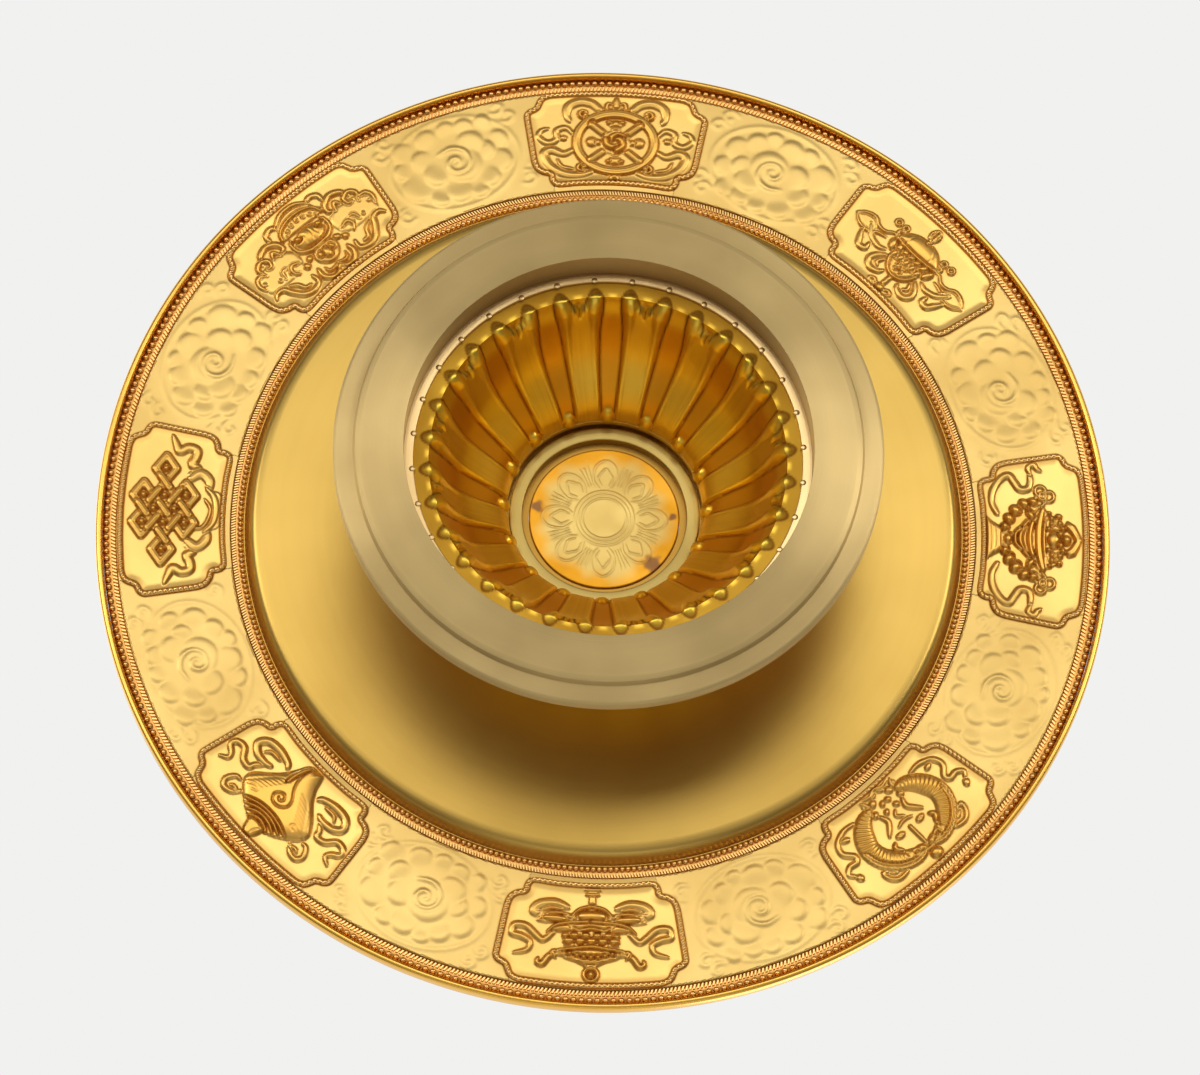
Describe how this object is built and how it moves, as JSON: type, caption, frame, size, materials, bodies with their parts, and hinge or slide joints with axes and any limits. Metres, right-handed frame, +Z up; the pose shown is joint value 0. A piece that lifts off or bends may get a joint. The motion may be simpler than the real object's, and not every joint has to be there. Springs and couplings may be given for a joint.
{
  "type": "footed offering plate",
  "caption": "Round footed offering plate of gilt brass: a shallow dish with framed auspicious emblems under its brim, on an open lotus pedestal.",
  "frame": {"origin": "middle of the resting face of the base ring", "axes": "+Z up through the dish; +X points to the knot panel and +Y to the wheel panel"},
  "size_m": [0.25, 0.25, 0.0528],
  "materials": {
    "foot_brass": "turned, pale champagne brass with fine lathe lines and a mottled patina",
    "seat_brass": "bright turned ring",
    "shell_brass": "dark amber cast brass, olive on the raised strips",
    "neck_gold": "satin gilt",
    "liner_brass": "dark turned brass",
    "dish_gold": "satin gilt with faint turned rings and amber toning",
    "collar_brass": "pale olive turned brass",
    "medallion_brass": "chased, with orange patina in the hollows",
    "rim_gold": "polished gilt wire",
    "band_gold": "matte gilt with red-brown antiquing in the hollows",
    "bead_gold": "gilt beads with orange-brown antiquing between them",
    "tooth_gold": "gilt, finely cut",
    "frame_gold": "gilt roped wire with brown antiquing",
    "emblem_gold": "matte gilt relief with brown antiquing in its lines"
  },
  "bodies": {
    "pedestal": {"base_ring": "foot_brass", "seat_ring": "seat_brass", "lotus_shell": "shell_brass", "neck_ring": "neck_gold", "neck_liner": "liner_brass"},
    "plate": {"dish_pan": "dish_gold", "collar": "collar_brass", "medallion": "medallion_brass", "rim_wire": "rim_gold", "relief_band": "band_gold", "outer_bead_row": "bead_gold", "outer_tooth_row": "tooth_gold", "inner_tooth_row": "tooth_gold", "inner_bead_row": "bead_gold", "knot_frame": "frame_gold", "lotus_frame": "frame_gold", "wheel_frame": "frame_gold", "parasol_frame": "frame_gold", "vase_frame": "frame_gold", "fish_frame": "frame_gold", "banner_frame": "frame_gold", "conch_frame": "frame_gold", "knot_emblem": "emblem_gold", "lotus_emblem": "emblem_gold", "wheel_emblem": "emblem_gold", "parasol_emblem": "emblem_gold", "vase_emblem": "emblem_gold", "fish_emblem": "emblem_gold", "banner_emblem": "emblem_gold", "conch_emblem": "emblem_gold"}
  },
  "joints": [
    {"name": "plate_lift", "type": "slide", "parent": "pedestal", "child": "plate", "axis": [0, 0, 1], "range_m": [0, 0.03]}
  ]
}
